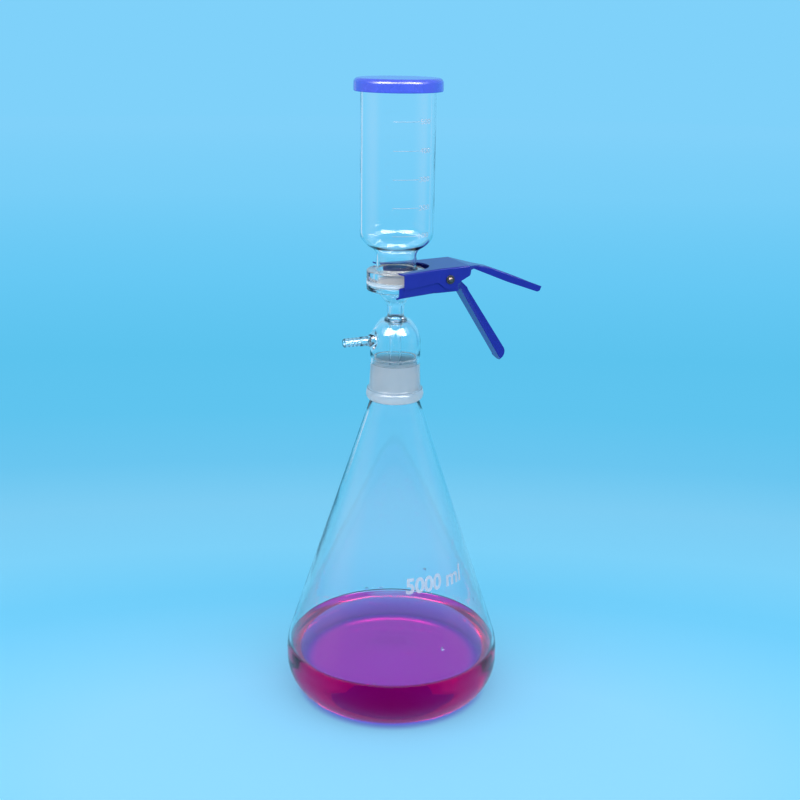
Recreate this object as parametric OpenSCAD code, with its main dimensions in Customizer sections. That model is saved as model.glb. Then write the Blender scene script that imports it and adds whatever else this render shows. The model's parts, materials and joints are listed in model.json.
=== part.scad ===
/* [Flask] */
// Largest outside diameter of the conical flask
flask_od = 224; // [210:1:240]
// Thickness of the flask's wall
flask_wall = 2.8; // [2:0.1:3.4]
// Height of the flask's rim above the bench
flask_h = 364; // [362:0.5:366]
// Height of the liquid surface
fill_z = 53.2; // [40:0.1:120]

/* [Filter head] */
// Outside diameter of the clamping flanges
flange_od = 58; // [56:0.5:58]
// Height of the flat sealing face between head and funnel
seal_z = 440; // [439.5:0.5:441]
// Outside diameter of the tube between the dome and the bowl
stem_od = 16.4; // [15:0.1:18]
// Outside diameter of the drip tube
drip_od = 12.5; // [11:0.1:13]
// Distance from the axis to the end of the hose barb
barb_reach = 55.5; // [50:0.5:70]
// Diameter of the hose barb's bore
barb_bore = 5.5; // [4:0.1:6]
// Number of ridges on the hose barb
barb_ridges = 4; // [3:1:4]
// Diameter of the sintered glass disc
frit_d = 40; // [36:0.5:41]
// Diameter of the membrane filter
membrane_d = 50; // [47:1:50]

/* [Funnel] */
// Outside diameter of the funnel's cylinder
funnel_od = 72; // [68:0.5:74]
// Thickness of the funnel's wall
funnel_wall = 1.7; // [1.5:0.1:2.2]
// Height of the funnel's rim above the bench
funnel_top = 631; // [600:1:650]
// Outside diameter of the cap
cap_od = 85; // [83:0.5:88]

/* [Clamp] */
// Thickness of the clamp's sheet
sheet = 1.4; // [1.2:0.1:1.4]
// Half width of the upper jaw across its nose
jaw_nose_w = 33.7; // [33.5:0.1:34.5]
// Half width of the upper jaw at the pivot
jaw_rear_w = 26; // [25.7:0.1:27]
// Distance of the pivot from the funnel's axis
pivot_x = 46.5; // [45:0.5:48]
// Height of the pivot
pivot_z = 443.4; // [443:0.1:444]
// Diameter of the pivot rivet
pivot_d = 4; // [3:0.1:5]
// Width of the handles
handle_w = 17.5; // [16:0.5:20]
// Wire diameter of the torsion spring
wire_d = 1.6; // [1.2:0.1:2]

/* [Hidden] */
$fn = 96;
eps = 0.05;          // free gap between pieces that rest on each other

// flask
flask_r = flask_od / 2;
foot_in = 56;        // inner edge of the flat foot ring
foot_rise = 3;       // height of the pushed-up centre of the base
corner_w = 28;       // radial half axis of the rounded corner
corner_h = 36;       // vertical half axis of the rounded corner
cone_z0 = 52.2;      // height at which the side starts to lean in
joint_z0 = 321;      // foot of the ground cone
joint_taper = 0.05;  // radius lost for each millimetre of height, a 1 in 10 cone
rim_r = 22;          // outside radius of the flask's rim
joint_r0 = rim_r + joint_taper * (flask_h - joint_z0);
neck_wall = 2.4;
lean_w = flask_wall * 1.052;  // the wall measured along the radius of the leaning side

// filter head
flange_r = flange_od / 2;
flange_t = 8;
socket_gap = 0.05;   // gap between the two ground cones
socket_z0 = 320.3;
bead_r = 29.2;
head_wall = 2.3;
stem_r = stem_od / 2;
stem_bore = 5.2;
drip_r = drip_od / 2;
drip_bore = 4.4;
drip_end = 330;
barb_z = 382.3;
barb_r = 4.7;        // radius of the shank and of the ridges' crests
barb_groove = 0.6;   // depth of the grooves between the ridges
shank_x0 = 33.5;     // the plain shank runs between these distances from the axis
shank_x1 = 38.5;
frit_t = 4;
membrane_t = 0.2;

// funnel
funnel_z0 = seal_z + membrane_t + 0.02;
funnel_flange_t = 11.8;
funnel_r = funnel_od / 2;
neck_r = 19.9;
neck_bore = 18;
rim_flare = 3.2;     // how far the funnel's rim is rolled out under the cap
cap_t = 3.1;         // thickness of the cap's top
cap_h = 12.3;
cap_z1 = funnel_top + eps + cap_t;
cap_z0 = cap_z1 - cap_h;

// clamp
nose_x = -6;         // front end of the side walls
tip_x = -11;         // front end of the upper fork's two tips
low_tip_x = -13;     // front end of the lower fork's two tips
waist_x = 36;        // the fork's sides stop closing in here, ahead of the ears
slot_x = 12;         // centre of the slot's round end
slot_w = 21.5;       // half width of the upper slot
low_slot_w = 22.6;   // half width of the lower slot
mouth_w = 30;        // half width of the slot's mouth
shoulder_x = 68;     // rear end of the upper jaw's body
jaw_tilt = 0.03;     // slope of the upper plate, which leans on its nose
low_tilt = 0.026;    // slope of the lower plate towards its nose
plate_z = funnel_z0 + funnel_flange_t + sheet + eps + 0.02; // upper face at the fork's tips
low_z = seal_z - flange_t - eps;                             // upper face of the lower plate
ear_r = 9.8;
nest = 0.15;         // gap between the nested side walls
half_h = handle_w / 2;
tongue_r = 14;       // radius of a handle's end seen from above
washer_r = 4.5;
washer_t = 1;
rivet_head_r = 2.7;
rivet_head_h = 1.9;
pin_gap = 0.05;
coil_r = 4.6;        // mean radius of the spring's coil
coil_turns = 7;
leg = 20;            // length of the spring's straight legs
coil_half = coil_turns * wire_d / 2;

// points on an arc of an ellipse, as [radius, height]
function arc(cx, cy, rx, ry, a0, a1, n) =
    [for (i = [0:n]) let (a = a0 + (a1 - a0) * i / n) [cx + rx * cos(a), cy + ry * sin(a)]];
// points on a smooth bend from p0 to p2, aimed at p1
function bend(p0, p1, p2, n) =
    [for (i = [0:n]) let (t = i / n) p0 * (1 - t) * (1 - t) + p1 * 2 * t * (1 - t) + p2 * t * t];
// radius of the flask's leaning side and of its ground cone
function lean_r(z) = flask_r - (flask_r - joint_r0) * (z - cone_z0) / (joint_z0 - cone_z0);
function joint_r(z) = joint_r0 - joint_taper * (z - joint_z0);
// radius of the flask through the bend between its upright and its leaning side
bend_h = 9;
function side_r(z) = z > cone_z0 + bend_h ? lean_r(z) :
    let (t = max(0, z - cone_z0 + bend_h) / bend_h / 2)
    flask_r - (flask_r - lean_r(cone_z0 + bend_h)) * t * t;
// points mirrored in the X axis, in reverse order
function mirrored(p) = [for (i = [len(p) - 1:-1:0]) [p[i][0], -p[i][1]]];

module turned(profile) {
    rotate_extrude() polygon(profile);
}

// ---------- glass ----------

module flask() {
    bend_z = [for (i = [-8:2:8]) cone_z0 + bend_h * i / 8];
    outside = concat(
        [[0, foot_rise], [foot_in * 0.7, foot_rise * 0.6], [foot_in, 0]],
        arc(flask_r - corner_w, corner_h, corner_w, corner_h, -90, 0, 14),
        [for (z = bend_z) [side_r(z), z]],
        [[joint_r0, joint_z0]],
        arc(rim_r - 0.9, flask_h - 0.9, 0.9, 0.9, 0, 90, 5));
    inside = concat(
        arc(rim_r - neck_wall + 0.9, flask_h - 0.9, 0.9, 0.9, 90, 180, 5),
        [[joint_r0 - neck_wall, joint_z0]],
        [for (i = [len(bend_z) - 1:-1:0]) [side_r(bend_z[i]) - lean_w, bend_z[i]]],
        arc(flask_r - corner_w, corner_h, corner_w - lean_w, corner_h - 3.2, 0, -90, 14),
        [[foot_in, 3.2], [foot_in * 0.7, 5.2], [0, 6.2]]);
    color("lightcyan", 0.35) turned(concat(outside, inside));
}

module filtrate() {
    gap = 2 * eps;
    w = lean_w + gap;
    wet = [for (i = [1:10]) corner_h + (fill_z - corner_h) * i / 10];
    body = concat(
        [[0, 6.2 + gap], [foot_in * 0.7, 5.2 + gap], [foot_in, 3.2 + gap]],
        arc(flask_r - corner_w, corner_h, corner_w - w, corner_h - 3.2 - gap, -90, 0, 14),
        [for (z = wet) [side_r(z) - w, z]],
        [[0, fill_z]]);
    color("purple", 0.8) turned(body);
}

// shell of the head: outside from the sealing face down to the bead, then back up inside
module head_shell() {
    z1 = seal_z;
    outside = concat(
        [[frit_d / 2 + eps, z1], [flange_r - 0.6, z1], [flange_r, z1 - 0.6]],
        [[flange_r, z1 - flange_t + 1.4], [flange_r - 1.4, z1 - flange_t], [22, z1 - flange_t]],
        [[20, 430], [11.2, 421]],
        bend([11.2, 421], [stem_r, 417.6], [stem_r, 414], 5),
        bend([stem_r, 407], [stem_r, 403.4], [12.4, 402.8], 4),
        bend([12.4, 402.8], [14.6, 402.4], [17.5, 399.1], 4),
        bend([17.5, 399.1], [25.2, 390.6], [25.5, 377], 10),
        [[24.9, 364], [25.1, 350], [25.8, 334]],
        bend([25.8, 334], [25.9, 332.2], [27.6, 331.6], 4),
        arc(bead_r - 4, 326, 4, 5.7, 80, -80, 12));
    ground = [[joint_r(socket_z0 + 0.8) + socket_gap + 0.5, socket_z0],
              [joint_r(socket_z0 + 0.8) + socket_gap, socket_z0 + 0.8],
              [joint_r(flask_h) + socket_gap, flask_h]];
    inside = concat(ground,
        [[22.9, 370]],
        bend([23.1, 377], [23, 389.4], [15.8, 397.2], 10),
        bend([15.8, 397.2], [12.4, 400.6], [drip_r, 399], 5));
    passage = concat(
        [[drip_r, drip_end + 0.5], [drip_r - 0.5, drip_end], [drip_bore, drip_end]],
        bend([drip_bore, 396], [drip_bore, 402], [stem_bore, 408], 4),
        [[stem_bore, 418.6], [17.6, 431.2], [18.2, z1 - frit_t], [frit_d / 2 + eps, z1 - frit_t]]);
    turned(concat(outside, inside, passage));
}

// outside of the hose barb, turned about +Z and then laid along -X
module barb_outside() {
    pitch = (barb_reach - 1 - shank_x1) / barb_ridges;
    ridges = [for (i = [barb_ridges - 1:-1:0]) let (x = shank_x1 + i * pitch) each
        [[barb_r, x + pitch * 0.45], [barb_r, x + pitch * 0.25], [barb_r - barb_groove, x + 0.1]]];
    turned(concat(
        [[0, barb_reach], [barb_r - 1.1, barb_reach], [barb_r - 0.7, barb_reach - 0.4]],
        ridges,
        [[barb_r, shank_x1]],
        bend([barb_r, shank_x0], [barb_r, 28], [10.5, 21.6], 8),
        [[0, 21.6]]));
}

module filter_head() {
    color("lightcyan", 0.35) difference() {
        union() {
            head_shell();
            difference() {
                translate([0, 0, barb_z]) rotate([0, -90, 0]) barb_outside();
                // keeps the root of the barb out of the dome's inside
                cylinder(r = 23.6, h = 420);
            }
        }
        translate([0, 0, barb_z]) rotate([0, -90, 0])
            translate([0, 0, 15]) cylinder(d = barb_bore, h = barb_reach);
    }
}

module frit_disc() {
    color("white") translate([0, 0, seal_z - frit_t]) cylinder(d = frit_d, h = frit_t);
}

module membrane_filter() {
    color("ivory") translate([0, 0, seal_z]) cylinder(d = membrane_d, h = membrane_t);
}

module funnel() {
    z0 = funnel_z0;
    z1 = z0 + funnel_flange_t;
    r = funnel_r;
    outside = concat(
        [[neck_bore, z0], [flange_r - 0.6, z0], [flange_r, z0 + 0.6], [flange_r, z1 - 1.2]],
        [[flange_r - 0.35, z1 - 0.35], [flange_r - 1.2, z1], [21.1, z1]],
        bend([21.1, z1], [neck_r, z1], [neck_r, z1 + 2.4], 4),
        bend([neck_r, 466], [neck_r, 470.5], [24.2, 473.4], 6),
        bend([24.2, 473.4], [29.5, 476.8], [32.3, 479.6], 4),
        bend([32.3, 479.6], [r, 483.4], [r, 490], 6),
        [[r, funnel_top - 10]],
        bend([r, funnel_top - 10], [r, funnel_top - 5], [r + rim_flare - 1, funnel_top - 3], 4),
        arc(r + rim_flare - 1.1, funnel_top - 1.5, 1.5, 1.5, -60, 90, 6));
    ri = r - funnel_wall;
    inside = concat(
        bend([ri + 1.2, funnel_top - 0.6], [ri, funnel_top - 3], [ri, funnel_top - 10], 4),
        bend([ri, 490], [ri, 484.3], [31, 480.9], 6),
        bend([31, 480.9], [27.9, 477.8], [22.9, 474.9], 4),
        bend([22.9, 474.9], [neck_bore, 471.4], [neck_bore, 466], 6));
    color("lightcyan", 0.35) turned(concat(outside, inside));
}

module funnel_cap() {
    r = cap_od / 2;
    rim = funnel_r + rim_flare + 0.7;
    color("royalblue") turned(concat(
        [[0, cap_z1 - cap_t], [rim - 1, cap_z1 - cap_t], [rim, cap_z1 - cap_t - 1]],
        [[rim, cap_z0], [r - 0.6, cap_z0], [r, cap_z0 + 0.6]],
        arc(r - 4, cap_z1 - 4, 4, 4, 0, 90, 7),
        [[0, cap_z1]]));
}

// ---------- clamp ----------

// half of a jaw's outline seen from above, from nose to handle end
function jaw_side(nose_w, rear_w, rear_x, hand_w, hand_x, end_x) =
    [[low_tip_x - 1, nose_w], [nose_x, nose_w], [waist_x, rear_w], [rear_x, rear_w],
     [hand_x, hand_w], [end_x, hand_w]];

module jaw_plan(nose_w, rear_w, rear_x, hand_w, hand_x, end_x) {
    side = jaw_side(nose_w, rear_w, rear_x, hand_w, hand_x, end_x);
    translate([0, 0, 300]) linear_extrude(height = 200) polygon(concat(side, mirrored(side)));
}

// a side view, [x, z], made solid across the jaw
module across(profile) {
    translate([0, 60, 0]) rotate([90, 0, 0]) linear_extrude(height = 120) polygon(profile);
}

module slot(w) {
    translate([slot_x, 0, 300]) cylinder(r = w, h = 200);
    translate([0, 0, 300]) linear_extrude(height = 200)
        polygon([[slot_x, w], [slot_x - 4, w], [tip_x, mouth_w], [low_tip_x - 1, mouth_w],
                 [low_tip_x - 1, -mouth_w], [tip_x, -mouth_w], [slot_x - 4, -w], [slot_x, -w]]);
}

// all of a jaw up to the curved end of its handle, which starts at p and runs along angle a
module tongue(p, a, reach) {
    translate([p[0], 0, p[1]]) rotate([0, -a, 0]) {
        translate([-300, -60, -120]) cube([300 + reach - tongue_r, 120, 240]);
        translate([reach - tongue_r, 0, -120]) cylinder(r = tongue_r, h = 240);
    }
}

module pivot_hole() {
    translate([pivot_x, 0, pivot_z]) rotate([90, 0, 0])
        cylinder(r = pivot_d / 2 + pin_gap, h = 80, center = true);
}

// upper jaw: the plate's top line runs back from the tips and bends down into the handle
up_top = [[tip_x, plate_z + 1], [nose_x - 1.5, plate_z],
          [shoulder_x, plate_z + (shoulder_x - nose_x) * jaw_tilt],
          [100, 448.8], [128, 438.2], [158, 425.6]];
up_wall_end = [156, 424.2];      // centre of the handle's round end
up_wall_r = 4.5;
up_dir_a = atan2(up_top[5].y - up_top[4].y, up_top[5].x - up_top[4].x);
up_reach = 38.2;       // from the handle's last bend to its end
function up_z(i) = up_top[i][1] - sheet;
up_side = concat(
    up_top,
    arc(up_wall_end[0], up_wall_end[1], up_wall_r, up_wall_r, 10, -110, 10),
    [[120, 432.5], [76, 450.8], [70.6, 450.8], [70.4, 448.6], [69.2, 446.4], [59.4, 441.4]],
    arc(pivot_x, pivot_z, ear_r, ear_r, -38, -138, 10),
    [[34.5, 440.6], [31, 441.3], [26, 440.7], [nose_x + 0.8, 437.9], [nose_x, 438.9],
     [nose_x, up_z(1) - 0.4], [nose_x - 1.5, up_z(1)], [tip_x, up_z(0)]]);
up_hollow = [[nose_x - 2, 400], [nose_x - 2, up_z(1)], [nose_x - 1.5, up_z(1)],
             [shoulder_x, up_z(2)], [100, up_z(3)], [128, up_z(4)], [164, up_z(5) - 2.6],
             [170, 400]];

module clamp_upper_jaw() {
    w = jaw_nose_w;
    v = jaw_rear_w;
    color("royalblue") difference() {
        intersection() {
            jaw_plan(w, v, shoulder_x, half_h, shoulder_x + 18, 170);
            across(up_side);
            tongue(up_top[4], up_dir_a, up_reach);
        }
        intersection() {
            jaw_plan(w - sheet, v - sheet, shoulder_x, half_h - sheet, shoulder_x + 17, 180);
            across(up_hollow);
        }
        slot(slot_w);
        pivot_hole();
    }
}

// lower jaw: its side walls stand inside the upper jaw's, and its handle bends down
low_flat_x = 28;     // the lower plate touches the flange from here back
low_rear = 56;
low_hand = 67;
low_dir_a = -57.9;
low_dir = [cos(low_dir_a), sin(low_dir_a)];
low_nrm = [-low_dir[1], low_dir[0]];
low_len = 96;
low_depth = 9.2;     // depth of the handle's side walls
low_end_r = 8.2;     // radius at the free corner of their ends
low_nose_z = low_z - (low_flat_x - low_tip_x - 3) * low_tilt;
low_p0 = [low_hand - 1, low_z - sheet];
low_end = low_p0 + low_dir * (low_len - 3 - low_end_r) + low_nrm * (low_depth - low_end_r);
low_tip = low_p0 + low_dir * (low_len + 1);
low_side = concat(
    [[low_tip_x, low_nose_z - sheet - 0.9], [low_tip_x + 3, low_nose_z - sheet],
     [low_flat_x, low_z - sheet], low_p0, low_tip, low_tip + low_nrm * (low_depth - low_end_r)],
    [for (a = [0:15:90]) low_end + (low_dir * cos(a) + low_nrm * sin(a)) * low_end_r],
    [[75.6, 427.6], [74.4, 430.4], [67.8, 436.6]],
    arc(pivot_x, pivot_z, ear_r - 0.2, ear_r - 0.2, -10, 150, 12),
    [[28, 446.5], [14, 443.5], [0, 440.6]],
    arc(low_tip_x + 4.6, 438, 2, 2, 90, 180, 4),
    [[low_tip_x + 2.4, low_nose_z + 0.4], [low_tip_x + 1.6, low_nose_z - 0.3],
     [low_tip_x, low_nose_z - 0.9]]);
low_in = low_p0 + low_nrm * sheet;
low_hollow = [[-20, 460], [-20, low_nose_z - 4], [low_tip_x, low_nose_z - 0.9],
              [low_tip_x + 3, low_nose_z], [low_flat_x, low_z], [low_in[0] + sheet * 0.48, low_z],
              low_in + low_dir * (low_len + 8), low_in + low_dir * (low_len + 8) + [60, 40],
              [90, 460]];

module clamp_lower_jaw() {
    w = jaw_nose_w - sheet - nest;
    v = jaw_rear_w - sheet - nest;
    color("mediumblue") difference() {
        intersection() {
            jaw_plan(w, v, low_rear, half_h, low_hand, 130);
            across(low_side);
            tongue(low_p0, low_dir_a, low_len);
        }
        intersection() {
            jaw_plan(w - sheet, v - sheet, low_rear, half_h - sheet, low_hand, 140);
            across(low_hollow);
        }
        slot(low_slot_w);
        pivot_hole();
    }
}

module clamp_pivot_pin() {
    span = jaw_rear_w + 0.1 + washer_t + eps;
    head = concat([[0, span], [rivet_head_r, span], [rivet_head_r, span + 0.5]],
                  arc(0, span + 0.5, rivet_head_r, rivet_head_h - 0.5, 10, 90, 8));
    color("silver") translate([pivot_x, 0, pivot_z]) rotate([90, 0, 0]) {
        cylinder(d = pivot_d, h = 2 * span, center = true);
        turned(head);
        rotate([180, 0, 0]) turned(head);
    }
}

module washer(side) {
    color("black") translate([pivot_x, side * (jaw_rear_w + 0.1 + washer_t / 2), pivot_z])
        rotate([90, 0, 0]) difference() {
            cylinder(r = washer_r, h = washer_t, center = true);
            cylinder(r = pivot_d / 2 + pin_gap, h = washer_t + 1, center = true);
        }
}

module clamp_washer_near() {
    washer(-1);
}

module clamp_washer_far() {
    washer(1);
}

// tilt that brings the end of a leg to a height above or below the pivot
function leg_tilt(h) = asin(h / norm([leg, coil_r])) - atan2(coil_r, leg);

module spring_leg(h) {
    translate([0, coil_half - wire_d / 2, 0]) rotate([0, -leg_tilt(h), 0])
        translate([0, 0, coil_r]) rotate([0, 90, 0]) cylinder(d = wire_d, h = leg);
}

// coil as a sleeve, with one straight leg under the upper plate and one on the lower plate
module clamp_spring() {
    clear = wire_d / 2 + eps;
    up_h = plate_z - sheet + (pivot_x + leg * 0.9 - nose_x) * jaw_tilt - pivot_z - clear;
    color("silver") translate([pivot_x, 0, pivot_z]) {
        rotate([90, 0, 0]) difference() {
            cylinder(r = coil_r + wire_d / 2, h = 2 * coil_half, center = true);
            cylinder(r = coil_r - wire_d / 2, h = 2 * coil_half + 1, center = true);
        }
        spring_leg(up_h);
        rotate([180, 0, 0]) spring_leg(pivot_z - low_z - clear);
    }
}

flask();
filtrate();
filter_head();
frit_disc();
membrane_filter();
funnel();
funnel_cap();
clamp_upper_jaw();
clamp_lower_jaw();
clamp_pivot_pin();
clamp_washer_near();
clamp_washer_far();
clamp_spring();
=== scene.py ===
import json
import math

import bmesh
import bpy
from mathutils import Matrix, Vector


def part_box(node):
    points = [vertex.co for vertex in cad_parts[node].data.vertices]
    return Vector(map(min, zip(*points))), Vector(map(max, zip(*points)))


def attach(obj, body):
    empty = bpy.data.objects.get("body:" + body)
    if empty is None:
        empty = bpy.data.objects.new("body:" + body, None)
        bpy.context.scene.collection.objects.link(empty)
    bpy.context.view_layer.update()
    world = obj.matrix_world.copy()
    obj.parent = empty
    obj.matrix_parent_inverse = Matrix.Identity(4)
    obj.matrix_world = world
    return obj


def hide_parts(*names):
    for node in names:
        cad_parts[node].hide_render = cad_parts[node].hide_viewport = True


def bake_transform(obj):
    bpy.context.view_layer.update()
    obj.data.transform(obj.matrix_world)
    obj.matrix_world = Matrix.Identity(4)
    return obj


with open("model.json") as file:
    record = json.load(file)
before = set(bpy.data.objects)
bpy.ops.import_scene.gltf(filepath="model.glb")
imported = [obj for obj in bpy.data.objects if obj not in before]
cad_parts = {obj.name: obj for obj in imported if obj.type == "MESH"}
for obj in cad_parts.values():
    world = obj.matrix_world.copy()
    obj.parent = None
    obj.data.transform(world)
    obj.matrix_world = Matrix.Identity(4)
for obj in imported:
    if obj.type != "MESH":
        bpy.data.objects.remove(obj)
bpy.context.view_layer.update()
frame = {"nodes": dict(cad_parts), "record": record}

# Lengths in this script are in millimetres until a mesh is made, and heights are above the bench.
MM = 0.001


# ---------- sizes taken from the frame ----------

def low(node):
    return [round(c / MM, 2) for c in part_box(node)[0]]


def high(node):
    return [round(c / MM, 2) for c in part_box(node)[1]]


PIVOT = [round(c / MM, 3) for c in frame["record"]["behaviour"]["joints"][0]["pos_m"]]

FLASK_R = high("flask")[0]
FLASK_H = high("flask")[2]
FILL_Z = high("filtrate")[2]
SEAL_Z = high("filter_head")[2]
FLANGE_R = high("filter_head")[0]
BARB_REACH = -low("filter_head")[0]
FRIT_Z0 = low("frit_disc")[2]
FRIT_R = high("frit_disc")[0]
FUNNEL_Z0 = low("funnel")[2]
FUNNEL_TOP = high("funnel")[2]
CAP_R = high("funnel_cap")[0]
CAP_Z0 = low("funnel_cap")[2]
CAP_TOP = high("funnel_cap")[2]

# flask
FLASK_WALL = 2.8
BASE_T = 3.2
PUSH_UP = 3
FOOT_IN = 56
CORNER_W = 28
CORNER_H = 36
CONE_Z0 = 52.2
BEND_H = 9
JOINT_Z0 = 321
JOINT_TAPER = 0.05
RIM_R = 22
JOINT_R0 = RIM_R + JOINT_TAPER * (FLASK_H - JOINT_Z0)
NECK_WALL = 2.4
RIM_SOFT = 0.9                    # rounding of the rim's two edges
FLASK_SIDES = 224
LEAN_W = FLASK_WALL * 1.052

# filter head
SOCKET_GAP = 0.05
SOCKET_Z0 = 320.3
FLANGE_T = 8
STEM_R = 8.2
STEM_BORE = 5.2
DRIP_R = 6.25
DRIP_BORE = 4.4
DRIP_END = 330
BARB_Z = 382.3
BARB_R = 4.7
BARB_BORE = 2.75
SHANK_OUT = 38.5
SHANK_IN = 33.5

# funnel and cap
FUNNEL_R = 36
FUNNEL_WALL = 1.7
FUNNEL_FLANGE = 11.8
NECK_R = 19.9
NECK_BORE = 18
RIM_FLARE = 3.2
CAP_T = 3.1
CAP_SOFT = 4.6

# clamp
WASHER_R = 4.5
PIN_R = 2
RIVET_HEAD_R = 2.7
RIVET_HEAD_H = 1.9
RIVET_EDGE = 0.3                  # rounding under the rivet's head


# ---------- outlines ----------
# A bare pair in an outline is a radius and a height of that outline alone.

TINY = 0.01                       # a length or radius below this counts as nothing


def arc(centre_r, centre_z, half_r, half_z, start, end, steps):
    """Points on an arc of an ellipse, as (radius, height)."""
    turns = [math.radians(start + (end - start) * i / steps) for i in range(steps + 1)]
    return [(centre_r + half_r * math.cos(a), centre_z + half_z * math.sin(a)) for a in turns]


def bend(start, aim, end, steps):
    """Points on a smooth bend from start to end that sets out towards aim."""
    made = []
    for i in range(steps + 1):
        t = i / steps
        made.append(tuple(
            a * (1 - t) ** 2 + b * 2 * t * (1 - t) + c * t * t
            for a, b, c in zip(start, aim, end)))
    return made


def lean_r(z):
    """Outside radius of the flask's straight leaning side."""
    return FLASK_R - (FLASK_R - JOINT_R0) * (z - CONE_Z0) / (JOINT_Z0 - CONE_Z0)


def side_r(z):
    """The same radius, with the bend into the upright side below."""
    if z > CONE_Z0 + BEND_H:
        return lean_r(z)
    t = max(0, z - CONE_Z0 + BEND_H) / BEND_H / 2
    return FLASK_R - (FLASK_R - lean_r(CONE_Z0 + BEND_H)) * t * t


def joint_r(z):
    """Radius of the ground cone between flask and head."""
    return JOINT_R0 - JOINT_TAPER * (z - JOINT_Z0)


def held(outline, gap=0.5):
    """Adds a point near both ends of each long straight, so only the corners shade as round."""
    made = []
    for a, b in zip(outline, outline[1:] + outline[:1]):
        made.append(a)
        length = math.dist(a, b)
        if length > 4 * gap and max(a[0], b[0]) > TINY:
            for share in (gap / length, 1 - gap / length):
                made.append(tuple(p + (q - p) * share for p, q in zip(a, b)))
    return made


def tidy(outline):
    """Drops points that lie on the one before."""
    made = [outline[0]]
    for point in outline[1:]:
        if math.dist(point, made[-1]) > TINY:
            made.append(point)
    return made


# ---------- making meshes ----------

def placed(name, data):
    """Puts a mesh, text, lamp or camera into the scene."""
    piece = bpy.data.objects.new(name, data)
    bpy.context.scene.collection.objects.link(piece)
    return piece


def solid(name, mesh, crease=None):
    """Turns a bmesh in metres into a smooth piece; edges sharper than crease degrees stay sharp."""
    data = bpy.data.meshes.new(name)
    mesh.to_mesh(data)
    mesh.free()
    data.shade_smooth()
    if crease:
        data.set_sharp_from_angle(angle=math.radians(crease))
    return placed(name, data)


def lathe(outline, sides):
    """The mesh of a closed body turned about the vertical axis from (radius, height) points."""
    mesh = bmesh.new()
    turns = [2 * math.pi * i / sides for i in range(sides)]
    rings = []
    for r, z in held(tidy(outline)):
        spread = turns if r > TINY else [0]
        rings.append([
            mesh.verts.new((r * MM * math.cos(a), r * MM * math.sin(a), z * MM)) for a in spread])
    for one, two in zip(rings, rings[1:] + rings[:1]):
        if len(one) == 1 and len(two) == 1:
            continue
        for i in range(sides):
            j = (i + 1) % sides
            corners = [one[i % len(one)], one[j % len(one)], two[j % len(two)], two[i % len(two)]]
            mesh.faces.new(list(dict.fromkeys(corners)))
    return mesh


def turned(name, outline, sides=192, crease=None, lay=None):
    mesh = lathe(outline, sides)
    if lay:
        bmesh.ops.transform(mesh, matrix=lay, verts=mesh.verts)
    bmesh.ops.recalc_face_normals(mesh, faces=mesh.faces)
    return solid(name, mesh, crease)


def baked(piece):
    """Turns a piece and its modifiers into a plain mesh."""
    graph = bpy.context.evaluated_depsgraph_get()
    data = bpy.data.meshes.new_from_object(piece.evaluated_get(graph))
    piece.modifiers.clear()
    piece.data = data
    return piece


def fitted(piece, body, finish, nodes=()):
    """Gives a finished piece its material, its body and the nodes that it stands for."""
    piece.data.materials.clear()
    piece.data.materials.append(finish)
    if body:
        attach(piece, body)
    if nodes:
        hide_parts(*nodes)


# ---------- writing node trees ----------

def socket_of(sockets, key):
    """The enabled socket with this identifier or name, or else the one at this place."""
    fitting = [s for s in sockets if key in (s.identifier, s.name) and s.enabled]
    return fitting[0] if fitting else sockets[key]


class Wire:
    """A socket in a node tree. Sums on it add Math nodes; add() makes any other node."""

    def __init__(self, tree, socket=None):
        self.tree = tree
        self.socket = socket

    def add(self, kind, settings=None, inputs=None, out=0):
        """Adds a node: first its settings, then its sockets' values or links."""
        node = self.tree.nodes.new(kind)
        for key, value in (settings or {}).items():
            setattr(node, key, value)
        for key, value in (inputs or {}).items():
            socket = socket_of(node.inputs, key)
            if isinstance(value, Wire):
                self.tree.links.new(value.socket, socket)
            else:
                socket.default_value = value
        return Wire(self.tree, socket_of(node.outputs, out))

    def math(self, operation, *others):
        names = ["Value", "Value_001"]
        return self.add(
            "ShaderNodeMath", {"operation": operation}, dict(zip(names, (self,) + others)))

    def __add__(self, other):
        return self.math("ADD", other)

    def __sub__(self, other):
        return self.math("SUBTRACT", other)

    def __mul__(self, other):
        return self.math("MULTIPLY", other)

    def __pow__(self, other):
        return self.math("POWER", other)

    def ease(self, start, end, low=0.0, high=1.0):
        """Rises smoothly from low to high as the value goes from start to end."""
        return self.add(
            "ShaderNodeMapRange", {"interpolation_type": "SMOOTHSTEP"},
            {"Value": self, "From Min": start, "From Max": end, "To Min": low, "To Max": high})

    def mixed(self, one, two):
        """A colour between one and two, by this value."""
        return self.add(
            "ShaderNodeMix", {"data_type": "RGBA"},
            {"Factor_Float": self, "A_Color": one, "B_Color": two}, "Result_Color")

    def ramp(self, stops):
        """A colour read off a row of (place, colour) stops, by this value."""
        made = self.add("ShaderNodeValToRGB", None, {"Fac": self}, "Color")
        row = made.socket.node.color_ramp.elements
        for place, _ in stops[1:-1]:
            row.new(place)
        for stop, (place, colour) in zip(row, stops):
            stop.position = place
            stop.color = colour
        return made

    def surface(self, inputs):
        return self.add("ShaderNodeBsdfPrincipled", None, inputs)

    def between(self, one, two):
        """A surface or light between one and two, by this value."""
        return self.add("ShaderNodeMixShader", None, {
            "Fac": self, "Shader": one, "Shader_001": two})

    def noise(self, where, scale, detail=2.0, roughness=0.5):
        return self.add(
            "ShaderNodeTexNoise", None,
            {"Vector": where, "Scale": scale, "Detail": detail, "Roughness": roughness})

    def bump(self, height, depth, strength=1.0):
        return self.add(
            "ShaderNodeBump", None,
            {"Height": height, "Distance": depth, "Strength": strength}, "Normal")


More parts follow.
